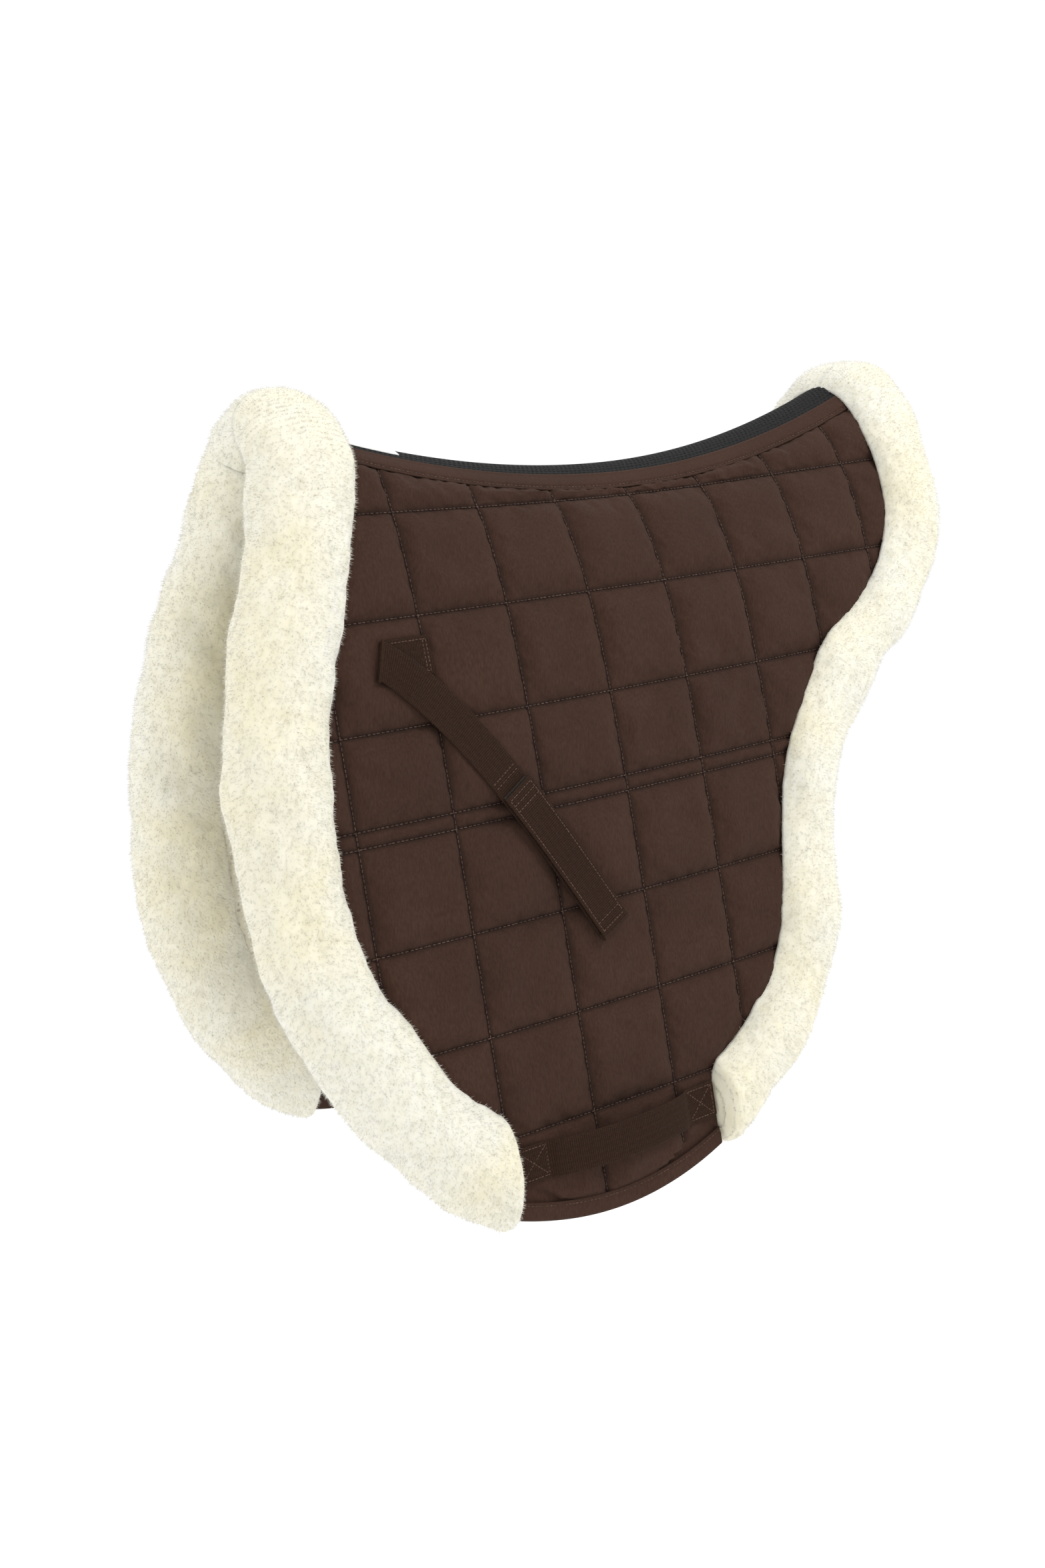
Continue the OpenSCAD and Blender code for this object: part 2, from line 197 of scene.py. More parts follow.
def closed_sheet(outer, inner, keep=None):
    """Points and quads of a slab between two equal grids, with a rim round the kept faces.

    The grids may carry further columns, such as a tone for each point.
    """
    rows, columns = outer.shape[:2]
    total = rows * columns
    quads = grid_quads(rows, columns)
    if keep is not None:
        quads = quads[keep.reshape(-1)]
    edges = np.concatenate([quads[:, [k, (k + 1) % 4]] for k in range(4)])
    key = edges.min(1) * total + edges.max(1)
    _, first, count = np.unique(key, return_index=True, return_counts=True)
    rim = edges[first[count == 1]]
    rim_quads = np.stack([rim[:, 1], rim[:, 0], rim[:, 0] + total, rim[:, 1] + total], -1)
    faces = np.concatenate([quads, quads[:, ::-1] + total, rim_quads])
    points = np.concatenate([outer.reshape(total, -1), inner.reshape(total, -1)])
    used, packed = np.unique(faces, return_inverse=True)
    return points[used], packed.reshape(faces.shape)


def tube(rings):
    """Points and side faces through closed rings. The ends are left open."""
    count, around = rings.shape[:2]
    i, j = np.meshgrid(np.arange(count - 1), np.arange(around), indexing="ij")
    a, b = (i * around + j).reshape(-1), (i * around + (j + 1) % around).reshape(-1)
    quads = np.stack([a, b, b + around, a + around], -1)
    return rings.reshape(-1, 3), quads


def both_sides(name, points, faces, material, finish):
    """The left piece and its mirror image, each handed to finish(piece, side)."""
    finish(new_mesh("left_" + name, points, faces, material), "left")
    turned = [f[:, ::-1] for f in faces]
    finish(new_mesh("right_" + name, points * [1, -1, 1], turned, material), "right")


def bending(slot, fill=None, *nodes):
    """A finish step for cloth that runs, over a band below the seam, from the spine into a flap: it hides
    the CAD parts it replaces and bakes the piece's transform.
    """
    def finish(piece, side):
        if nodes:
            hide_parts(*[n.format(side=side) for n in nodes])
        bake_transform(piece)
    return finish


def riding(body, slot, *nodes):
    """A finish step for a piece that rides on the spine, or on one body of its own side."""
    def finish(piece, side):
        if nodes:
            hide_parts(*[f"{side}_{n}" for n in nodes])
        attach(piece, body if body == "spine" else f"{side}_{body}")
    return finish


def toned(attribute, tones, finish):
    """A finish step that first gives the piece's points a painted shade value, which its material reads."""
    def finish_toned(piece, side):
        piece.data.attributes.new(attribute, "FLOAT", "POINT").data.foreach_set("value", tones)
        finish(piece, side)
    return finish_toned


def make_fibres(points, normals, count, length, radius, lean, seed, areas):
    """Tapered fibres as closed spikes, standing on sampled places of a pile surface."""
    rng = np.random.default_rng(seed)
    pick = rng.choice(len(points), count, p=areas / areas.sum())
    base, up = points[pick], normals[pick]
    drift = unit(np.cross(up, rng.normal(size=(count, 3))))
    flow = unit(np.array(lean, float) - (up @ np.array(lean, float))[:, None] * up)
    way = unit(up + flow * rng.uniform(0.1, 0.6, (count, 1)) + drift * rng.uniform(0, 0.5, (count, 1)))
    long = length * rng.uniform(0.55, 1.25, (count, 1))
    side_a = unit(np.cross(way, drift))
    side_b = np.cross(way, side_a)
    base = base + drift * rng.uniform(0, 1.2, (count, 1)) - up * 0.6
    corners = [base + radius * (math.cos(k) * side_a + math.sin(k) * side_b) for k in (0, 2.094, 4.189)]
    spikes = np.stack([*corners, base + way * long], 1).reshape(-1, 3)
    at = (np.arange(count) * 4)[:, None]
    faces = np.concatenate([at + f for f in ([0, 1, 3], [1, 2, 3], [2, 0, 3], [2, 1, 0])])
    return spikes, faces


def quad_frames(points, quads):
    """Each quad's middle, normal and area."""
    a, b, c, d = (points[quads[:, k]] for k in range(4))
    cross = np.cross(c - a, d - b)
    return (a + b + c + d) / 4, unit(cross), np.linalg.norm(cross, axis=1) / 2


# ---- materials
def node_material(name, roughness, sheen=0.0, sheen_tint=(1, 1, 1, 1), specular=0.2):
    material = bpy.data.materials.new(name)
    material.use_nodes = True
    shader = material.node_tree.nodes["Principled BSDF"]
    values = {"Roughness": roughness, "Specular IOR Level": specular, "Sheen Weight": sheen,
              "Sheen Roughness": 0.5, "Sheen Tint": sheen_tint}
    for socket, value in values.items():
        shader.inputs[socket].default_value = value
    return material, material.node_tree, shader


def add_node(tree, kind, **settings):
    node = tree.nodes.new(kind)
    for name, value in settings.items():
        if name.startswith("in_"):
            node.inputs[name[3:].replace("_", " ")].default_value = value
        else:
            setattr(node, name, value)
    return node


def noise(tree, scale, detail=2.0, stretch=None):
    """Noise in object space. scale is in features per metre."""
    coords = tree.nodes.get("coords") or add_node(tree, "ShaderNodeTexCoord", name="coords")
    vector = coords.outputs["Object"]
    if stretch:
        mapping = add_node(tree, "ShaderNodeMapping")
        mapping.inputs["Scale"].default_value = stretch
        tree.links.new(vector, mapping.inputs["Vector"])
        vector = mapping.outputs["Vector"]
    texture = add_node(tree, "ShaderNodeTexNoise", in_Scale=scale, in_Detail=detail)
    tree.links.new(vector, texture.inputs["Vector"])
    return texture.outputs["Fac"]


def ramp(tree, value, stops):
    node = add_node(tree, "ShaderNodeValToRGB")
    node.color_ramp.elements[0].position, node.color_ramp.elements[0].color = stops[0]
    node.color_ramp.elements[1].position, node.color_ramp.elements[1].color = stops[-1]
    for position, colour in stops[1:-1]:
        node.color_ramp.elements.new(position).color = colour
    tree.links.new(value, node.inputs["Fac"])
    return node.outputs["Color"]


def mix_colours(tree, share, a, b, kind="MIX"):
    node = add_node(tree, "ShaderNodeMix", data_type="RGBA", blend_type=kind)
    for socket, value in ((0, share), (6, a), (7, b)):
        if isinstance(value, bpy.types.NodeSocket):
            tree.links.new(value, node.inputs[socket])
        else:
            node.inputs[socket].default_value = value
    return node.outputs[2]


def bump(tree, shader, height, distance, strength=1.0, under=None):
    node = add_node(tree, "ShaderNodeBump", in_Distance=distance, in_Strength=strength)
    tree.links.new(height, node.inputs["Height"])
    if under:
        tree.links.new(under, node.inputs["Normal"])
    tree.links.new(node.outputs["Normal"], shader.inputs["Normal"])
    return node.outputs["Normal"]


def cotton_material():
    """Matt brown cotton: fine weave and faint slubs, with painted shade down in the sewn channels."""
    material, tree, shader = node_material("brown_cotton", 0.85, 0.04, (0.8, 0.6, 0.5, 1), 0.12)
    slub = noise(tree, 900, 3, (1, 1, 0.25))
    patch = noise(tree, 14, 4)
    base = ramp(tree, slub, [(0.3, (0.034, 0.0165, 0.011, 1)), (0.7, (0.049, 0.025, 0.017, 1))])
    tone = ramp(tree, patch, [(0.3, (0.92, 0.92, 0.92, 1)), (0.7, (1.1, 1.08, 1.07, 1))])
    cloth = mix_colours(tree, 1.0, base, tone, "MULTIPLY")
    painted_channel_shade = add_node(tree, "ShaderNodeAttribute", attribute_name="painted_channel_shade")
    # painted shade: the cotton is darkened towards near black along the sewn lines, standing in for the
    # shade in the channels
    cloth = mix_colours(tree, painted_channel_shade.outputs["Fac"], cloth, (0.012, 0.006, 0.005, 1))
    tree.links.new(cloth, shader.inputs["Base Color"])
    weave = noise(tree, 2600, 1, (1, 1, 0.6))
    soft = bump(tree, shader, noise(tree, 160, 3), 0.0006, 0.5)
    bump(tree, shader, weave, 0.0002, 0.6, soft)
    return material


def fleece_material(name, light, deep, warm):
    """Cream pile: fine soft clumps, with broad patches of a warmer cream."""
    material, tree, shader = node_material(name, 0.95, 0.3, (1, 0.98, 0.93, 1), 0.1)
    shader.inputs["Subsurface Weight"].default_value = 0.4
    shader.inputs["Subsurface Radius"].default_value = (0.006, 0.0055, 0.0045)
    shader.inputs["Subsurface Scale"].default_value = 1.0
    base = ramp(tree, noise(tree, 170, 4, (1, 1, 0.5)), [(0.25, deep), (0.6, light)])
    tone = ramp(tree, noise(tree, 13, 3), [(0.36, warm), (0.6, (1, 1, 1, 1))])
    tree.links.new(mix_colours(tree, 1.0, base, tone, "MULTIPLY"), shader.inputs["Base Color"])
    soft = bump(tree, shader, noise(tree, 200, 4), 0.0008, 0.26)
    bump(tree, shader, noise(tree, 1000, 2, (1, 1, 0.4)), 0.0003, 0.22, soft)
    return material


def plain_material(name, dark, light, roughness, grain=1500, depth=0.0002, sheen=0.1):
    material, tree, shader = node_material(name, roughness, sheen)
    colour = ramp(tree, noise(tree, grain, 2), [(0.3, dark), (0.7, light)])
    tree.links.new(colour, shader.inputs["Base Color"])
    bump(tree, shader, noise(tree, grain, 2), depth, 0.6)
    return material


def webbing_material():
    """Brown polyester webbing, with painted shade between its ribs."""
    material, tree, shader = node_material("webbing", 0.62, 0.02, specular=0.04)
    yarn = ramp(tree, noise(tree, 1300, 2),
                [(0.3, (0.021, 0.011, 0.007, 1)), (0.7, (0.043, 0.0225, 0.014, 1))])
    # painted shade: the yarn is darkened towards near black where the weave sinks between ribs
    rib = add_node(tree, "ShaderNodeAttribute", attribute_name="rib")
    tree.links.new(mix_colours(tree, rib.outputs["Fac"], yarn, (0.006, 0.0035, 0.003, 1)),
                   shader.inputs["Base Color"])
    bump(tree, shader, noise(tree, 2200, 2), 0.0002, 0.7)
    return material


COTTON = cotton_material()
FLEECE = fleece_material("fleece",
                         (0.79, 0.772, 0.672, 1), (0.735, 0.712, 0.59, 1), (1.0, 0.972, 0.875, 1))
LINING = fleece_material("lining_fleece",
                         (0.80, 0.77, 0.65, 1), (0.74, 0.70, 0.565, 1), (1.0, 0.97, 0.87, 1))
PANEL = plain_material("panel_cotton", (0.72, 0.69, 0.60, 1), (0.80, 0.78, 0.70, 1), 0.8)
MESH = plain_material("spacer_mesh", (0.003, 0.003, 0.003, 1),
                      (0.012, 0.012, 0.012, 1), 0.7, 700, 0.0004, 0.0)
WEBBING = webbing_material()
TAPE = plain_material("hook_and_loop", (0.010, 0.009, 0.008, 1), (0.03, 0.026, 0.022, 1), 0.9, 800, 0.0006)
THREAD = plain_material("brown_thread", (0.030, 0.016, 0.011, 1),
                        (0.12, 0.072, 0.052, 1), 0.6, 500, 0.0002, 0.02)
LABEL = plain_material("label_cloth", (0.78, 0.78, 0.77, 1), (0.88, 0.88, 0.87, 1), 0.7, 1200)
WEB_THREAD = plain_material("web_thread", (0.055, 0.030, 0.021, 1),
                            (0.15, 0.088, 0.062, 1), 0.6, 500, 0.0002, 0.02)


# ---- the quilt
GRID_AHEAD, GRID_BEHIND, TOP_STEPS = 130, 500, 16    # the grid's reach in s from COLUMN_AT, and its top rows
LOWEST_ROOM = 8         # the grid ends at least this far below the last sewn row
QUILT_FILL, ROLL_FILL, LINING_FILL = 0.55, 0.7, 0.3
BULGE = 9               # more than the quilt ever stands off its face
UNDER_ROLL = 9          # the quilt ends this far from a roll's centre line
BELOW_LOOP = 440        # depth below which the bottom edge runs from one roll's cut end to the other's


def lowest_v(s):
    """The depth at which the quilt's grid ends."""
    return np.maximum(bottom_v(s), LAST_ROW * ROW_PITCH + ROW_AT + LOWEST_ROOM)


def middles_of(grid):
    """A value for each cell of a grid, from two of its opposite corners."""
    return (grid[1:, 1:] + grid[:-1, :-1]) / 2


def row_lines(s):
    """The depths v of the sewn lines that cross a column at s, from the seam to the bottom edge."""
    rows = [ROW_AT + ROW_PITCH * k for k in range(LAST_ROW + 1)] + [DOUBLE_ROW - DOUBLE_GAP]
    return [-rise(s), *[np.full(s.shape, float(v)) for v in sorted(rows)], lowest_v(s)]


def line_distance(line, s, v, samples=240):
    """Signed distance from points to a roll's centre line in [s, v]: positive on the flap's side."""
    path = along(line, np.linspace(0, 1, samples))
    way = unit(np.gradient(path, axis=0))
    turn = 1 if line is FRONT_LINE else -1
    best = np.full(s.shape, 1e9)
    signed = np.zeros(s.shape)
    for p, d in zip(path, way):
        ds, dv = s - p[0], v - p[1]
        far = np.hypot(ds, dv)
        closer = far < best
        best = np.where(closer, far, best)
        signed = np.where(closer, np.sign(turn * (ds * d[1] - dv * d[0])) * far, signed)
    return signed


def roll_distances(s, v):
    return line_distance(FRONT_LINE, s, v), line_distance(REAR_LINE, s, v)


def quilt_grid():
    """The quilting's grid of s and v, with a line of points along every sewn line."""
    step = COLUMN_PITCH / CELL_STEPS
    s = COLUMN_AT + step * np.arange(round(-GRID_AHEAD / step), round(GRID_BEHIND / step) + 1)
    last = ROW_AT + ROW_PITCH * LAST_ROW
    levels = [-rise(s), np.full(s.shape, ROW_AT), np.full(s.shape, last), lowest_v(s)]
    counts = (TOP_STEPS, CELL_STEPS * LAST_ROW, CELL_STEPS)
    rows = [top + (low - top) * (k / count)
            for top, low, count in zip(levels, levels[1:], counts) for k in range(count)]
    v = np.array([*rows, levels[-1]])
    return np.broadcast_to(s, v.shape).copy(), v


def sewn_distance(s, v):
    """Distance from each point to the nearest column line and to the nearest row line."""
    column = np.abs((s - COLUMN_AT + COLUMN_PITCH / 2) % COLUMN_PITCH - COLUMN_PITCH / 2)
    row = np.min([np.abs(v - line) for line in row_lines(s)], axis=0)
    return column, row


PUFF_HEIGHT, PUFF_RUN = 4.6, 5.5
SWELL_FRAMES, SWELL_CAP = 12, 1.8
CLOTH = dict(quality=4, mass=0.25, tension_stiffness=20, compression_stiffness=20, shear_stiffness=8,
             bending_stiffness=0.4, use_pressure=True, uniform_pressure_force=0.8, shrink_min=-0.015)
HEM_FROM, HEM_RUN, HEM_UNDER = 20, 8, 1.5     # where the quilt flattens under the bottom binding
GATHERED_AT, GATHERED_RUN = 70, 140     # the stretch of the seam along which the cotton is gathered


def puff(d):
    return 1 - np.exp(-(d / PUFF_RUN) ** 1.25)


def edge_fade(s, v):
    """1 over the open face, falling to 0 under the rolls' lips."""
    front, rear = roll_distances(s, v)
    return np.clip(np.minimum(front - 14, rear - 12) / 22, 0, 1)


def pressed(s, v):
    """1 where webbing lies on the quilt, falling to 0 around it: under sewn webbing, and under the strap."""
    sewn_web = np.zeros(s.shape)
    half = WEB_W / 2
    for a, b, low, high in ((FOLD_BOTTOM[0], ROOT_TO, FOLD_TOP[1], FOLD_BOTTOM[1]),
                            (LOOP_FROM, LOOP_FROM + LOOP_SEWN, LOOP_V - half, LOOP_V + half),
                            (LOOP_TO - LOOP_SEWN, LOOP_TO, LOOP_V - half, LOOP_V + half)):
        far = np.maximum(np.maximum(a - s, s - b), np.maximum(low - v, v - high))
        sewn_web = np.maximum(sewn_web, np.clip(1 - (far - 1.5) / 9, 0, 1))
    far = np.full(s.shape, 1e9)
    for q in along(STRAP_LINE, np.linspace(0, 1, 80)):
        far = np.minimum(far, np.hypot(s - q[0], v - q[1]))
    return sewn_web, np.clip(1 - (far - half - 2) / 10, 0, 1)


def swell(s, v, n, free):
    """The quilt's cells, blown up by cloth simulation between their sewn lines. Returns new points.

    free is 0 where the quilt is held down, under the rolls and the webbing.
    """
    rows, columns = s.shape
    start = place(s, v, n)
    piece = new_mesh("swelling_quilt", start.reshape(-1, 3), [grid_quads(rows, columns)], COTTON)
    column, row = sewn_distance(s, v)
    held = (column < 0.6) | (row < 0.6) | (free < 0.02)
    group = piece.vertex_groups.new(name="sewn")
    group.add([int(k) for k in np.flatnonzero(held.reshape(-1))], 1.0, "REPLACE")
    cloth = piece.modifiers.new("Cloth", "CLOTH")
    settings = cloth.settings
    for name, value in CLOTH.items():
        setattr(settings, name, value)
    settings.vertex_group_mass = "sewn"
    settings.effector_weights.gravity = 0
    cloth.collision_settings.use_collision = False
    scene = bpy.context.scene
    for k in range(1, SWELL_FRAMES):
        scene.frame_set(k)
    shape = piece.evaluated_get(bpy.context.evaluated_depsgraph_get())
    points = np.empty(rows * columns * 3, np.float32)
    shape.data.vertices.foreach_get("co", points)
    scene.frame_set(1)
    bpy.data.objects.remove(piece)
    points = points.reshape(rows, columns, 3) / MM
    move = points - start
    size = np.linalg.norm(move, axis=-1, keepdims=True)
    return start + move * np.minimum(1, SWELL_CAP * free[..., None] / np.maximum(size, 1e-6))


def quilts():
    """The outer cotton shells, quilted over their wadding."""
    s, v = quilt_grid()
    fade = edge_fade(s, v)
    column, row = sewn_distance(s, v)
    spot = place(s, v)
    size = PUFF_HEIGHT * (1 + 0.12 * ripple(spot, 90, 3))
    n = size * puff(column) * puff(row)
    near = np.exp(-(np.minimum(column, row) / 7) ** 2)
    pucker = np.where(column < row, ripple(spot, 9, 5), ripple(spot, 11, 7))
    below_seam = v + rise(s)
    gathers = ripple(np.stack([s, 0 * s, 0.2 * v], -1), 12, 13) * np.exp(-(below_seam / 15) ** 2)
    gathers = gathers * np.clip(1 - ((s - GATHERED_AT) / GATHERED_RUN) ** 2, 0, 1)
    creases = ripple(spot * [1, 1, 0.35], 17, 15) * np.exp(-(row / 12) ** 2) * puff(row)
    n = n + 0.34 * near * pucker + 0.35 * ripple(spot, 26, 9) * puff(column) * puff(row)
    n = (n + 0.9 * gathers * puff(row) + 0.22 * creases) * fade
    n = np.where((column < 0.6) | (row < 0.6), -1.2 * (fade > 0), n)
    sewn_web, strapped = pressed(s, v)
    n = np.minimum(n, BULGE - (BULGE - SHELL_OUT + 0.2) * sewn_web)
    n = np.minimum(n, BULGE - (BULGE - STRAP_IN + 0.3) * strapped)
    hem = np.clip((v - bottom_v(s) + HEM_FROM) / HEM_RUN, 0, 1)
    n = np.minimum(n, BULGE - (BULGE - HEM_UNDER) * hem)
    free = fade * (1 - np.maximum(np.maximum(sewn_web, strapped), hem))
    outer = swell(s, v, n, free)
    inner = place(s, v, WADDING_IN)
    middle_s, middle_v = middles_of(s), middles_of(v)
    front, rear = roll_distances(middle_s, middle_v)
    low = middle_v > BELOW_LOOP
    between = (middle_s > FRONT_CUT + 1) & (middle_s < REAR_CUT - 1)
    clear = (front > UNDER_ROLL) & (rear > UNDER_ROLL)
    keep = (clear & (middle_v < bottom_v(middle_s))) | (low & between)
    # painted shade: a mask along the sewn lines that darkens the cotton where shade falls in the channels
    painted_channel_shade = 0.8 * np.exp(-(np.minimum(column, row) / 1.3) ** 2) * (fade > 0)
    points, faces = closed_sheet(with_tone(outer, painted_channel_shade), with_tone(inner, 0 * painted_channel_shade), keep)
    points, tones = points[:, :3], points[:, 3].astype(np.float32)
    finish = bending("brown_cotton", QUILT_FILL, "{side}_shell", "{side}_wadding")
    both_sides("quilt", points, [faces], COTTON, toned("painted_channel_shade", tones, finish))


# ---- stitches
def stitches(centres, ways, ups, length, radius):
    """Sewn threads as small closed lozenges, one for each stitch."""
    count = len(centres)
    across = unit(np.cross(ways, ups))
    rings = []
    for shift, size in ((-0.5, 0.35), (-0.28, 1.0), (0.28, 1.0), (0.5, 0.35)):
        for angle in np.arange(6) * math.pi / 3:
            rings.append(centres + ways * length * shift
                         + radius * size * (math.cos(angle) * across + 0.8 * math.sin(angle) * ups))
    points = np.stack(rings, 1).reshape(-1, 3)
    ring = np.arange(6)
    quads = np.concatenate([np.stack([k * 6 + ring, k * 6 + (ring + 1) % 6, k * 6 + 6 + (ring + 1) % 6,
                                      k * 6 + 6 + ring], -1) for k in range(3)])
    ends = np.array([[5, 4, 3, 2, 1, 0], [18, 19, 20, 21, 22, 23]])
    at = (np.arange(count) * 24)[:, None]
    return points, [np.concatenate([at + q for q in quads]), np.concatenate([at + e for e in ends])]


def seam_stitches(curve, normal, pitch, length, radius, seed=1):
    """Stitches spaced evenly along a fine row of points that has a normal at each point."""
    run = lengths(curve)
    at = np.arange(pitch / 2, run[-1], pitch)
    if len(at) < 2:
        return None
    rng = np.random.default_rng(seed)
    at = at + rng.uniform(-0.12, 0.12, len(at)) * pitch
    way = unit(sampled(at + 0.5, run, curve) - sampled(at - 0.5, run, curve))
    return stitches(sampled(at, run, curve), way, unit(sampled(at, run, normal)), length, radius)


def joined(parts):
    """One set of points and faces from several."""
    points, faces, start = [], {}, 0
    for p, groups in parts:
        points.append(p)
        for group in groups:
            faces.setdefault(group.shape[1], []).append(group + start)
        start += len(p)
    return np.concatenate(points), [np.concatenate(g) for g in faces.values()]


QUILT_STITCH = (3.3, 2.5, 0.38)


def quilting_threads():
    """The quilting's stitches, sunk in their channels."""
    parts = []
    fine = np.arange(-345, 290, 1.0)
    for k, line in enumerate(row_lines(fine)[1:-1]):
        parts += run_of_stitches(fine, line, 20 + k)
    deep = np.arange(-60, 495, 1.0)
    for k in range(-1, 7):
        parts += run_of_stitches(np.full(deep.shape, COLUMN_AT + COLUMN_PITCH * k), deep, 40 + k)
    points, faces = joined(parts)
    both_sides("quilting_thread", points, faces, THREAD, bending("brown_cotton"))


def run_of_stitches(s, v, seed):
    """Stitches along one line of the quilting, where it isn't under a roll or past the edge."""
    s = s.astype(float)
    front, rear = roll_distances(s, v)
    seen = (front > 26) & (rear > 23) & (v > -rise(s) + 1) & (v < bottom_v(s) - 9)
    parts = []
    ends = np.flatnonzero(np.diff(np.concatenate([[0], seen.astype(int), [0]])))
    for a, b in zip(ends[::2], ends[1::2]):
        if b - a > 8:
            curve = place(s[a:b], v[a:b], -0.15)
            normal = outward(s[a:b], v[a:b] + rise(s[a:b]))
            made = seam_stitches(curve, normal, *QUILT_STITCH, seed)
            if made:
                parts.append(made)
    return parts


# ---- fleece rolls
# Crowns: place along X, lean at the seams, depth of the centre below the mesh, and share of the roll's size
FRONT_CROWN = (-262, -4, 3, 1.0, 1.12)
REAR_CROWN = (264, 0, 12, 0.8, 1.0)
END_ROUND = 9
ACROSS_SPINE = np.array([1, -1, 1, 1, -1, 1, 1])    # turns a row of centre, normal and share to the far side
FIBRES = 34000


def roll_path(line, crown_s, lean, sink, steps):
    """Centres, outward normals and shares of crown of a roll, from the spine's middle line to its cut end.

    The crown's centre lies sink below the mesh in the middle and comes up to the flap's roll at the seam.
    """
    t = np.linspace(-CROWN_RUN, 2, 14)
    inward = np.clip((t + CROWN_RUN) / CROWN_RUN, 0, 1)
    inward = inward ** 2 * (3 - 2 * inward)
    s = crown_s + lean * inward
    crown_up = outward(s, t)
    crown_up[0] = unit(crown_up[0] * [1, 0, 1])
    crown = face(s, t) - (sink + (-ROLL_MID - sink) * inward)[:, None] * crown_up
    w = np.linspace(0.02, 1, 120)
    q = along(line, w)
    centres = np.concatenate([crown, place(q[:, 0], q[:, 1], np.full(len(w), ROLL_MID))])
    ups = np.concatenate([crown_up, outward(q[:, 0], q[:, 1] + rise(q[:, 0]))])
    share = np.concatenate([1 - inward, np.zeros(len(w))])
    run = lengths(centres)
    at = np.linspace(0, run[-1], steps)
    rows = sampled(at, run, np.column_stack([centres, ups, share]))
    for _ in range(12):
        over_spine = rows[1] * ACROSS_SPINE
        rows[:-1] = (np.vstack([over_spine, rows[:-2]]) + 2 * rows[:-1] + rows[1:]) / 4
    return rows[:, :3], unit(rows[:, 3:6]), np.clip(rows[:, 6:], 0, 1), at


LIP_STEPS, OVAL_STEPS = 7, 84


def roll_sections(half_w, half_t, slot_mid, slot_half):
    """Ovals, each open at a slot on its inner side, as steps [out, up], and how exposed each step is.

    The four sizes are columns with a row for each ring.
    """
    top = math.pi - np.arcsin((slot_mid + slot_half) / half_t)
    low = -math.pi + np.arcsin((slot_half - slot_mid) / half_t)
    angle = low + (top - low) * np.linspace(0, 1, OVAL_STEPS)
    oval = np.stack([half_w * np.cos(angle), half_t * np.sin(angle)], -1)
    depth = np.linspace(0.12, 1, LIP_STEPS)[:, None]
    upper_end, lower_end = (np.stack([0 * half_w, slot_mid + k * slot_half], -1) for k in (0.97, -0.97))
    upper = oval[:, -1:] * (1 - depth) + upper_end * depth
    lower = oval[:, :1] * (1 - depth[::-1]) + lower_end * depth[::-1]
    into = np.linspace(0.7, 0, LIP_STEPS)
    shown = np.concatenate([np.ones(OVAL_STEPS), into, into[::-1]])
    return np.concatenate([oval, upper, lower], 1), shown


def fleece_roll(name, line, crown, side_sign, width, cover_nodes, seed):
    """A fleece roll from the spine's middle line down to its cut end, with its pile."""
    steps = 260
    centres, ups, share, at = roll_path(line, *crown[:3], steps)
    runs = unit(np.gradient(centres, axis=0))
    runs[0] = [0, -1, 0]
    outs = side_sign * unit(np.cross(runs, ups))
    squash, spread = crown[3:]
    half_w = width / 2 * (1 + (spread - 1) * share)
    half_t = ROLL_THICK / 2 * (1 + (squash - 1) * share)
    layers = (SHELL_OUT - LINING_IN) / 2
    slot_mid = (crown[2] - MESH_THICK / 2) * share
    slot_half = layers + (MESH_THICK / 2 + 0.4 - layers) * share
    section, shown = roll_sections(half_w, half_t, slot_mid, slot_half)
    left = at[-1] - at
    round_end = np.where(left < END_ROUND, np.sqrt(1 - 0.9 * (1 - np.minimum(left / END_ROUND, 1)) ** 2), 1)
    section = section * round_end[:, None, None]
    rings = centres[:, None] + section[..., :1] * outs[:, None] + section[..., 1:] * ups[:, None]
    toward_cut = np.clip(1 - left / 70, 0, 1)[:, None] ** 1.5
    shift = (centres[:, None, 0] - rings[..., 0]) / np.where(np.abs(runs[:, 0:1]) > 0.2, runs[:, 0:1], 1)
    rings = rings + runs[:, None] * (toward_cut * shift)[..., None]
    push = unit(section[..., :1] * outs[:, None] / half_w[..., None]
                + section[..., 1:] * ups[:, None] / half_t[..., None])
    spot = rings + [seed * 500.0, 0, 0]
    lumps = (1.5 * ripple(spot, 95, seed) + 0.55 * ripple(spot, 38, seed + 1)
             + 0.22 * ripple(spot, 15, seed + 2) + 0.12 * ripple(spot, 6.5, seed + 3))
    middle = 0.5 - 0.5 * np.cos(math.pi * np.clip(at / 26, 0, 1))[:, None]
    rings = rings + push * (lumps * shown * middle)[..., None]
    points, quads = tube(rings)
    count = rings.shape[1]
    end = (steps - 1) * count + np.arange(count)
    first = np.arange(count)[::-1]
    if side_sign > 0:
        quads = quads[:, ::-1]
        end, first = end[::-1], first[::-1]
    caps = fans(points, [first, end])
    middles, normals, areas = quad_frames(points, quads)
    exposed = np.tile(shown, steps - 1) > 0.65
    spikes, spike_faces = make_fibres(middles, normals, FIBRES, 3.0, 0.17, (0, 0, -1), seed, areas * exposed)
    points, faces = joined([(points, [quads]), caps, (spikes, [spike_faces])])
    both_sides(name, points, faces, FLEECE, bending("fleece", ROLL_FILL, *cover_nodes))


def fans(points, loops):
    """End caps as fans round the middle of each loop, with their own points."""
    new_points, faces, start = [], [], 0
    for loop in loops:
        ring = points[loop]
        new_points.append(np.concatenate([ring, ring.mean(0)[None]]))
        count = len(loop)
        k = np.arange(count)
        faces.append(start + np.stack([k, (k + 1) % count, np.full(count, count)], -1))
        start += count + 1
    return np.concatenate(new_points), [np.concatenate(faces)]


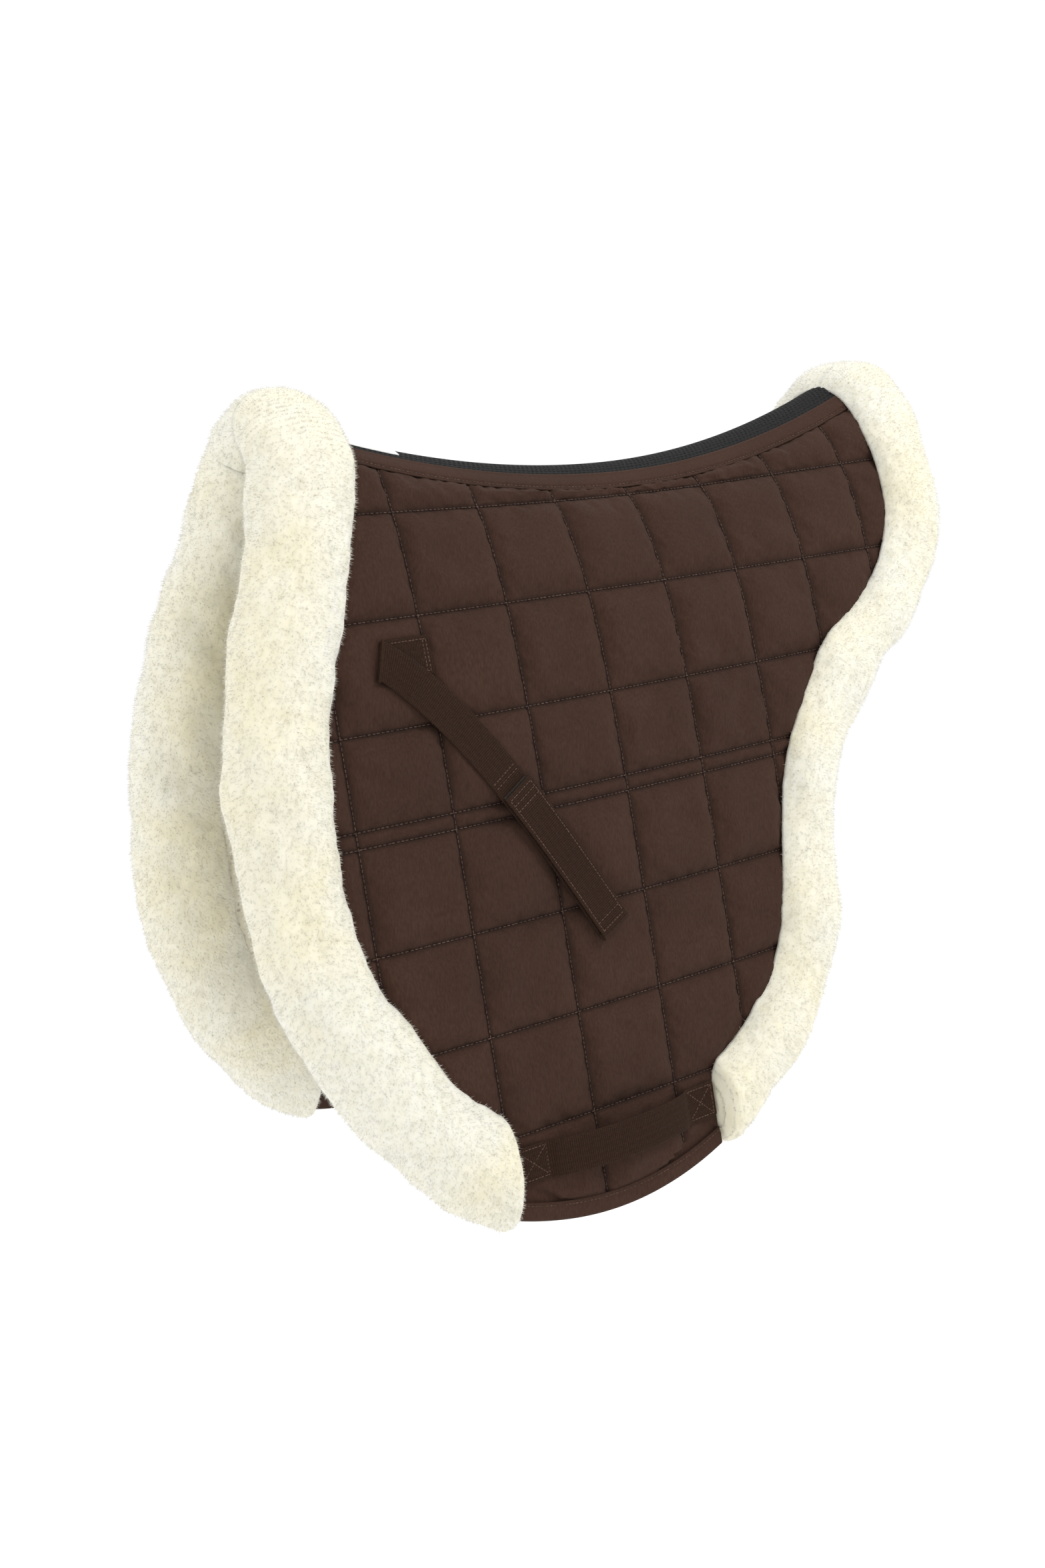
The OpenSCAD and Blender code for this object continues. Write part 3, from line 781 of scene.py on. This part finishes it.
# ---- inner side
def panel_grid(steps):
    """The wear panel's grid of [s, v], between shares of the way from roll to roll."""
    across, w = np.linspace(0.2, 0.8, steps), np.linspace(0.47, 0.9, steps)
    front, rear = along(FRONT_LINE, w), along(REAR_LINE, w)
    return front[:, None] * (1 - across[None, :, None]) + rear[:, None] * across[None, :, None]


def linings():
    """The short-pile fleece lining inside each flap, pressed flat under the wear panel and the hem."""
    s, v = quilt_grid()
    s, v = s[::2, ::2], v[::2, ::2]
    spot = place(s, v)
    panel_far = np.full(s.shape, 1e9)
    for q in panel_grid(28).reshape(-1, 2):
        panel_far = np.minimum(panel_far, np.hypot(s - q[0], v - q[1]))
    front, rear = roll_distances(s, v)
    loose = np.clip((panel_far - 8) / 6, 0, 1) * np.clip((bottom_v(s) - 15 - v) / 8, 0, 1)
    pile = 0.9 * ripple(spot, 60, 31) + 0.6 * ripple(spot, 22, 32) + 0.4 * ripple(spot, 10, 33)
    inner = place(s, v, LINING_IN + 0.5 - (pile + 0.5) * loose)
    grows = ((loose > 0.95) & (front > 26) & (rear > 24)).astype(float)
    middle_s, middle_v = middles_of(s), middles_of(v)
    keep = (front[1:, 1:] > 11) & (rear[1:, 1:] > 11) & (front[:-1, :-1] > 11) & (rear[:-1, :-1] > 11)
    keep &= middle_v < bottom_v(middle_s) - 2
    outer = place(s, v, LINING_OUT)
    points, faces = closed_sheet(with_tone(outer, 0 * grows), with_tone(inner, grows), keep)
    growing = points[faces, 3].min(1)
    points = points[:, :3]
    middles, normals, areas = quad_frames(points, faces)
    spikes, spike_faces = make_fibres(middles, normals, 24000, 3.2, 0.24, (0, 0, -1), 35, areas * growing)
    points, faces = joined([(points, [faces]), (spikes, [spike_faces])])
    finish = bending("lining_fleece", LINING_FILL, "{side}_lining")
    both_sides("fleece_lining", points, faces, LINING, finish)


# ---- webbing
def web_slab(s, v, n_in, n_out, rib, rib_depth):
    """A woven tape from grids of [s, v], along by across: a closed slab whose outer face carries fine ribs.

    Returns its points, faces and how deep between two ribs each point lies, which the webbing material
    paints as shade.
    """
    base = place(s, v, n_out)
    centre = base[:, base.shape[1] // 2]
    run = lengths(centre)
    d = np.linspace(-1, 1, s.shape[1])
    rounded = 0.35 + 0.65 * (1 - np.abs(d) ** 8)
    ribs = np.sin(2 * math.pi * run / rib)[:, None]
    weave = ribs * (0.6 + 0.4 * np.cos(d * 4 * math.pi) ** 2) * (1 - d ** 8)
    middle, thick = (n_in + n_out) / 2, (n_out - n_in) / 2
    outer = place(s, v, middle + thick * rounded + rib_depth * weave)
    inner = place(s, v, middle - thick * rounded)
    # painted shade: darker where the weave sinks between two ribs, read by the webbing material
    tone = 0.9 * np.clip(-weave, 0, 1) ** 1.2
    points, faces = closed_sheet(with_tone(outer, tone), with_tone(inner, tone))
    return points[:, :3], faces[:, ::-1], points[:, 3].astype(np.float32)


def strip(centre_s, centre_v, across_s, across_v, half, n_in, n_out, rib=1.5, rib_depth=0.2):
    """A woven tape along a path in [s, v], resampled to the pitch of its ribs."""
    base = place(centre_s, centre_v, n_out)
    run = lengths(base)
    at = np.linspace(0, run[-1], int(4 * run[-1] / rib))
    cs, cv, ds, dv, low, high = (np.interp(at, run, x)[:, None]
                                 for x in (centre_s, centre_v, across_s, across_v, n_in, n_out))
    d = half * np.sin(np.linspace(-math.pi / 2, math.pi / 2, 22))
    return web_slab(cs + ds * d, cv + dv * d, low, high, rib, rib_depth)


def web_piece(name, slab, material, finish):
    """Both sides of a woven piece, with the painted shade between its ribs."""
    points, faces, tones = slab
    both_sides(name, points, [faces], material, toned("rib", tones, finish))


ROOT_OUT = SHELL_OUT + GAP + WEB_THICK
STRAP_IN = ROOT_OUT + GAP
STRAP_OUT = STRAP_IN + WEB_THICK
LOOP_TAPE_IN = STRAP_OUT + SEWN_GAP
HOOK_IN = LOOP_TAPE_IN + TAPE_THICK + GAP
TAB_IN = HOOK_IN + TAPE_THICK + SEWN_GAP


def strap_path(from_w, to_w):
    w = np.linspace(from_w, to_w, 60)
    q = along(STRAP_LINE, w)
    way = unit(along(STRAP_LINE, np.minimum(w + 0.01, 1)) - along(STRAP_LINE, np.maximum(w - 0.01, 0)))
    fold = unit(np.array(FOLD_BOTTOM, float) - np.array(FOLD_TOP, float))
    turn = np.minimum(1, 5 * w)[:, None]
    across = unit(fold * (1 - turn) + np.stack([-way[:, 1], way[:, 0]], -1) * turn)
    return q[:, 0], q[:, 1], across[:, 0], across[:, 1]


def strap_point(w, d):
    """The place in [s, v] at shares w of the strap's length and d millimetres across it."""
    s, v, across_s, across_v = strap_path(0, 1)
    grid = np.linspace(0, 1, len(s))
    s, v, across_s, across_v = (np.interp(w, grid, x) for x in (s, v, across_s, across_v))
    return np.stack([s + across_s * d, v + across_v * d], -1)


def sewn(name, lines, lift, finish, pitch=2.6, length=1.9, radius=0.3):
    """Stitches along lines in [s, v] on a surface that lies lift off the face."""
    parts = []
    for k, line in enumerate(lines):
        line = np.array(line, float)
        size = lengths(line)
        at = np.arange(0, size[-1], 0.5)
        s, v = np.interp(at, size, line[:, 0]), np.interp(at, size, line[:, 1])
        height = lift(s) if callable(lift) else np.full(s.shape, float(lift))
        made = seam_stitches(place(s, v, height), outward(s, v + rise(s)), pitch, length, radius, 90 + k)
        if made:
            parts.append(made)
    points, faces = joined(parts)
    both_sides(name, points, faces, WEB_THREAD, finish)


def box_stitch(corners):
    """A sewn rectangle with both its diagonals."""
    a, b, c, d = corners
    return [[a, b, c, d, a], [a, c], [b, d]]


SEW_IN = 2.2
STRAP_START = 0.011     # the strap begins on its hinge, a little inside the fold
ROOT_START = 2.2        # how far from the fold's line the sewn web begins
TAB_HINGE = LOOP_TAPE_IN + TAPE_THICK + 0.03
TAB_TURN = 2.9          # radius of the web's turn round the tab's hinge line


def straps():
    ones = np.ones(60)
    half = WEB_W / 2
    strap = strip(*strap_path(STRAP_START, 1), half, STRAP_IN * ones, STRAP_OUT * ones)
    web_piece("saddle_strap", strap, WEBBING, riding("strap", "webbing", "billet_strap"))
    tab = strip(*strap_path(TAB_FROM, 1), half, TAB_IN * ones, (TAB_IN + WEB_THICK) * ones)
    web_piece("strap_tab", tab, WEBBING, riding("tab", "webbing", "closure_tab"))
    for name, start, at, body in (("loop_tape", TAB_FROM, LOOP_TAPE_IN, "strap"),
                                  ("hook_tape", TAB_FROM + 0.01, HOOK_IN, "tab")):
        tape = strip(*strap_path(start, 0.99), half - 1.5, at * ones, (at + TAPE_THICK) * ones, 1.0, 0.1)
        web_piece(name + "_strip", tape, TAPE, riding(body, "hook_and_loop", name))
    root_web()
    tab_turn()
    edge = half - SEW_IN
    start, end = TAB_FROM + 0.012, 0.988
    w = np.linspace(start, end, 30)
    rows = [(share, share) for share in (start, start + 0.018, start + 0.036, end - 0.02, end)]
    lines = [strap_point(w, edge), strap_point(w, -edge)]
    lines += [strap_point(np.array(pair), np.array([-edge, edge])) for pair in rows]
    sewn("tab_stitching", lines, TAB_IN + WEB_THICK, riding("tab", "webbing"))
    lines = [strap_point(np.array([w, w]), np.array([-edge, edge]))
             for w in (TAB_FROM - 0.03, TAB_FROM - 0.045)]
    sewn("strap_stitching", lines, STRAP_OUT, riding("strap", "webbing"))


def root_web():
    """The strap's sewn end: flat webbing as far as the fold, the rounded fold, and its stitches."""
    top, bottom = np.array(FOLD_TOP, float), np.array(FOLD_BOTTOM, float)
    d = np.sin(np.linspace(-math.pi / 2, math.pi / 2, 22)) / 2 + 0.5
    fold = top + (bottom - top) * d[:, None]
    u = np.linspace(0, 1, 150)[:, None]
    start = fold[:, 0] + ROOT_START
    slab = web_slab(start + (ROOT_TO - start) * u, fold[:, 1] + 0 * u,
                    np.full((150, 1), SHELL_OUT + GAP), np.full((150, 1), ROOT_OUT), 1.3, 0.14)
    web_piece("strap_root_web", slab, WEBBING, riding("flap", "webbing", "strap_root"))
    low, high = SHELL_OUT + GAP, STRAP_OUT
    angle = np.linspace(-math.pi / 2, math.pi / 2, 14)
    outer = [((high - low) / 2 * math.cos(k), math.sin(k)) for k in angle]
    inner = [((high - low) / 2 * math.cos(k) * 0.45, 0.45 * math.sin(k)) for k in angle[::-1]]
    d = np.linspace(0, 1, 26)[:, None]
    spots = top + (bottom - top) * d
    rings = np.stack([place(spots[:, 0] + 1.2 - drop, spots[:, 1],
                            np.full(len(spots), (low + high) / 2 + (high - low) / 2 * n))
                      for drop, n in outer + inner], 1)
    points, quads = tube(rings)
    ends = [np.arange(28)[::-1], 25 * 28 + np.arange(28)]
    pairs = np.arange(13)
    strips = [np.stack([loop[pairs], loop[pairs + 1], loop[26 - pairs], loop[27 - pairs]], -1)
              for loop in ends]
    both_sides("strap_fold", points, [np.concatenate([quads, *strips])], WEBBING, riding("flap", "webbing"))
    far, inset = ROOT_TO - SEW_IN, 2.4
    rows = [[(far - step, top[1] + inset), (far - step, bottom[1] - inset)] for step in (0, 2.4)]
    frame_line = [(far, top[1] + inset), (-243, top[1] + inset)]
    low_line = [(far, bottom[1] - inset), (-236, bottom[1] - inset)]
    sewn("root_stitching", [*rows, frame_line, low_line], ROOT_OUT, riding("flap", "webbing"))


def tab_turn():
    """The turn of webbing at the strap's end, round the hinge line of the tab."""
    count = 24
    q = strap_point(np.ones(count), np.linspace(-WEB_W / 2, WEB_W / 2, count))
    up = outward(q[:, 0], q[:, 1] + rise(q[:, 0]))
    line = place(q[:, 0], q[:, 1], np.full(count, TAB_HINGE))
    ahead = unit(np.cross(up, unit(np.gradient(line, axis=0))))
    angle = np.linspace(0, 2 * math.pi, 25)[:-1, None]
    rings = line[:, None] + TAB_TURN * (np.cos(angle) * ahead[:, None] + np.sin(angle) * up[:, None])
    points, quads = tube(rings)
    around = rings.shape[1]
    caps = fans(points, [np.arange(around)[::-1], (count - 1) * around + np.arange(around)])
    points, faces = joined([(points, [quads]), caps])
    both_sides("strap_end_turn", points, faces, WEBBING, riding("strap", "webbing"))


def loop_height(s):
    u = np.clip((s - LOOP_FROM - LOOP_SEWN) / (LOOP_TO - LOOP_FROM - 2 * LOOP_SEWN), 0, 1)
    return SHELL_OUT + GAP + LOOP_BULGE * np.sqrt(np.sin(math.pi * u))


def girth_loops():
    s = np.linspace(LOOP_FROM, LOOP_TO, 120)
    n = loop_height(s)
    for _ in range(3):
        n[1:-1] = (n[:-2] + 2 * n[1:-1] + n[2:]) / 4
    ones = np.ones(120)
    slab = strip(s, LOOP_V * ones, 0 * ones, ones, WEB_W / 2, n, n + WEB_THICK)
    web_piece("girth_web_loop", slab, WEBBING, riding("flap", "webbing", "girth_loop"))
    low, high = LOOP_V - WEB_W / 2 + SEW_IN, LOOP_V + WEB_W / 2 - SEW_IN
    lines = []
    for start in (LOOP_FROM, LOOP_TO - LOOP_SEWN):
        a, b = start + SEW_IN, start + LOOP_SEWN - SEW_IN
        lines += box_stitch([(a, low), (b, low), (b, high), (a, high)])
    sewn("loop_stitching", lines, SHELL_OUT + GAP + WEB_THICK, riding("flap", "webbing"))


# ---- bindings and spine
def spine_bindings():
    """Folded cotton along each side of the mesh strip, with a corded edge and a sewn line."""
    top, bottom, sewn_share = -13, 1.5, 0.83
    u = np.linspace(0, 1, 22)
    cord = 0.7 * np.exp(-((u - 0.1) / 0.12) ** 2)
    sewn_line = 0.9 * np.exp(-((u - sewn_share) / 0.05) ** 2)
    high = 0.5 + 1.5 * np.sin(math.pi * np.clip(u, 0.02, 0.98)) ** 0.35 + cord - sewn_line
    s, t = np.meshgrid(np.arange(-246, 243, 2.2), top + (bottom - top) * u)
    base, normal = face(s, t), outward(s, t)
    points, faces = closed_sheet(base + high[:, None, None] * normal, base + 0.2 * normal)
    finish = riding("spine", "brown_cotton", "spine_binding")
    both_sides("spine_edge_binding", points, [faces], COTTON, finish)
    s = np.arange(-240, 240, 1.0)
    t = 0 * s + top + sewn_share * (bottom - top)
    normal = outward(s, t)
    points, faces = seam_stitches(face(s, t) + 1.15 * normal, normal, 3.2, 2.3, 0.36, 61)
    both_sides("spine_seam_thread", points, faces, THREAD, riding("spine", "brown_cotton"))


KNIT_PITCH, KNIT_DEPTH, DOME = 3.4, 1.1, 1.8
MESH_FROM, MESH_TO, MESH_END_RUN, MESH_END_DROP = -258, 252, 4, 2.5
LABEL_FROM, LABEL_TO, LABEL_SHARE, LABEL_THICK = -226, -187, 0.5, 0.7


def over_spine(across, along_x):
    """Grids of shares across the crown and of s, with the face's points and normals on both sides."""
    a, s = np.meshgrid(across, along_x, indexing="ij")
    t = (np.abs(a) - 1) * CROWN_RUN
    base, up = face(s, t), outward(s, t)
    middle = np.abs(a) < 0.001
    up[middle] = unit(up[middle] * [1, 0, 1])
    side = np.where(a > 0, -1, 1)
    base[..., 1] *= side
    up[..., 1] *= side
    return a, s, base, up


def on_spine(name, outer, inner, material, node):
    points, faces = closed_sheet(outer, inner)
    piece = new_mesh(name, points, [faces[:, ::-1]], material)
    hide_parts(node)
    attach(piece, "spine")


def spine_mesh():
    """The spacer-mesh strip: an open knit of small hexagons, crowned over the spine."""
    a, s, base, up = over_spine(np.linspace(-1, 1, 97), np.arange(MESH_FROM, MESH_TO, 1.0))
    y, skew = a * CROWN_RUN, math.sqrt(3)
    hexes = (np.cos(2 * math.pi * y / KNIT_PITCH) + np.cos(math.pi * (y + skew * s) / KNIT_PITCH)
             + np.cos(math.pi * (y - skew * s) / KNIT_PITCH)) / 3
    end = np.minimum(s - MESH_FROM, MESH_TO - s)
    soft_end = MESH_END_DROP * np.clip(1 - end / MESH_END_RUN, 0, 1) ** 2
    high = DOME * (1 - a ** 2) - KNIT_DEPTH * np.clip(hexes, -0.1, 1) - soft_end
    on_spine("spine_mesh_strip", base + up * high[..., None], base - MESH_THICK * up, MESH,
             "spine_mesh")


def spine_label():
    """The blank label, on the front of the mesh strip."""
    across = np.linspace(-LABEL_SHARE, LABEL_SHARE, 31)
    a, s, base, _ = over_spine(across, np.linspace(LABEL_FROM, LABEL_TO, 40))
    weave = 0.05 * np.sin(s * 6) * np.sin(a * 200)
    under = base + np.array([0, 0, 1]) * (DOME * (1 - a ** 2) + weave + GAP)[..., None]
    on_spine("blank_label", under + [0, 0, LABEL_THICK], under, LABEL, "spine_label")


def bottom_bindings():
    """Bias tape round the bottom edge, between the rolls."""
    s = np.arange(FRONT_CUT + 0.5, REAR_CUT, 1.5)
    lip, out, back = 11, 3.8, LINING_IN - 1.2
    profile = []
    for u in np.linspace(0, 1, 9):
        seam = 0.9 * math.exp(-((u - 0.18) / 0.08) ** 2)
        profile.append((-lip * (1 - u), out - 1.1 * (1 - u) ** 6 - seam))
    middle, half = (out + back) / 2, (out - back) / 2
    for angle in np.linspace(math.pi / 2, -math.pi / 2, 11)[1:-1]:
        profile.append((3.2 * math.cos(angle), middle + half * math.sin(angle)))
    for u in np.linspace(1, 0, 6):
        profile.append((-lip * (1 - u), back))
    for u in np.linspace(0, 1, 4):
        profile.append((-lip * (1 - u) - 0.3 * u, back + 1.1))
    for u in np.linspace(1, 0, 4):
        profile.append((-lip * (1 - u) - 0.3 * u, out - 2.2))
    rings = np.stack([place(s, bottom_v(s) + drop, np.full(s.shape, n)) for drop, n in profile], 1)
    points, quads = tube(rings)
    count = rings.shape[1]
    caps = fans(points, [np.arange(count)[::-1], (len(s) - 1) * count + np.arange(count)])
    points, faces = joined([(points, [quads]), caps])
    both_sides("hem_binding", points, faces, COTTON, riding("flap", "brown_cotton", "bottom_binding"))
    line = place(s, bottom_v(s) - 8.8, np.full(s.shape, 3.1))
    made = seam_stitches(line, outward(s, bottom_v(s) - 9 + rise(s)), 3.0, 2.2, 0.34, 71)
    both_sides("hem_thread", *made, THREAD, riding("flap", "brown_cotton"))


def wear_panels():
    """The smooth cotton panel on the lining, quilted in small squares."""
    q = panel_grid(90)
    s, v = q[..., 0], q[..., 1]
    square = 34
    d = np.minimum(np.abs((s + 1000) % square - square / 2), np.abs((v + 10) % square - square / 2))
    swollen = 0.9 * (1 - np.exp(-(d / 3.5) ** 2))
    outer = place(s, v, LINING_IN - 0.2 + 0 * s)
    inner = place(s, v, LINING_IN - 1.2 - swollen)
    points, faces = closed_sheet(outer, inner)
    both_sides("wear_panel_cloth", points, [faces[:, ::-1]], PANEL, wear_panel_finish)


def wear_panel_finish(piece, side):
    riding("flap", "panel_cotton", "wear_panel")(piece, side)


# ---- camera, floor and light
def look_at(name, data, position, right, up, back):
    rig = bpy.data.objects.new(name, data)
    rig.matrix_world = Matrix([[*c] for c in zip(right, up, back, position)] + [[0, 0, 0, 1]])
    bpy.context.scene.collection.objects.link(rig)
    return rig


def camera():
    """The photograph's viewpoint: ahead of the pad, on its left, a little above the topline."""
    turn, tilt, roll = math.radians(38.62), math.radians(13.67), math.radians(-3.13)
    ahead = np.array([math.sin(turn) * math.cos(tilt), math.cos(turn) * math.cos(tilt), -math.sin(tilt)])
    level = np.array([math.cos(turn), -math.sin(turn), 0])
    above = np.cross(level, ahead)
    right = level * math.cos(roll) + above * math.sin(roll)
    up = -level * math.sin(roll) + above * math.cos(roll)
    data = bpy.data.cameras.new("camera")
    data.sensor_width = 36
    data.lens = 37.8
    data.clip_end = 50
    bpy.context.scene.camera = look_at("camera", data, (-0.8128, -0.9078, 0.0667), right, up, -ahead)


def area_light(name, position, target, size, power):
    data = bpy.data.lights.new(name, "AREA")
    data.size, data.energy = size, power
    back = unit(np.array(position, float) - np.array(target, float))
    right = unit(np.cross([0, 0, 1], back))
    look_at(name, data, position, right, np.cross(back, right), back)


def studio():
    low, high = CAD_BOX
    floor_z = low[2] - 0.6
    material, tree, shader = node_material("studio_floor", 0.9, specular=0.0)
    pale = [(0.4, (0.965, 0.965, 0.965, 1)), (0.6, (0.975, 0.975, 0.975, 1))]
    tree.links.new(ramp(tree, noise(tree, 3, 2), pale), shader.inputs["Base Color"])
    size = 12000
    corners = np.array([[-size, -size, 0], [size, -size, 0], [size, size, 0], [-size, size, 0]], float)
    floor = new_mesh("studio_floor", corners + [0, 0, floor_z / MM], [np.array([[0, 1, 2, 3]])], material)
    world = bpy.data.worlds.new("studio")
    world.use_nodes = True
    world.node_tree.nodes["Background"].inputs["Color"].default_value = (1, 1, 1, 1)
    world.node_tree.nodes["Background"].inputs["Strength"].default_value = 1.06
    bpy.context.scene.world = world
    bpy.context.scene.view_settings.view_transform = "Standard"
    centre = (0, 0, -0.2)
    area_light("key", (0.95, -1.5, 1.7), centre, 0.7, 21)
    area_light("fill", (-2.2, -0.6, 0.7), centre, 1.8, 7)


camera()
quilts()
quilting_threads()
CROWN_NODES = ["{side}_%s_roll_cover", "{side}_%s_roll_core", "%s_crown_cover", "%s_crown_core"]
fleece_roll("front_fleece", FRONT_LINE, FRONT_CROWN, 1, FRONT_ROLL_W, [n % "front" for n in CROWN_NODES], 11)
fleece_roll("rear_fleece", REAR_LINE, REAR_CROWN, -1, REAR_ROLL_W, [n % "rear" for n in CROWN_NODES], 12)
linings()
wear_panels()
straps()
girth_loops()
spine_mesh()
spine_label()
spine_bindings()
bottom_bindings()
studio()
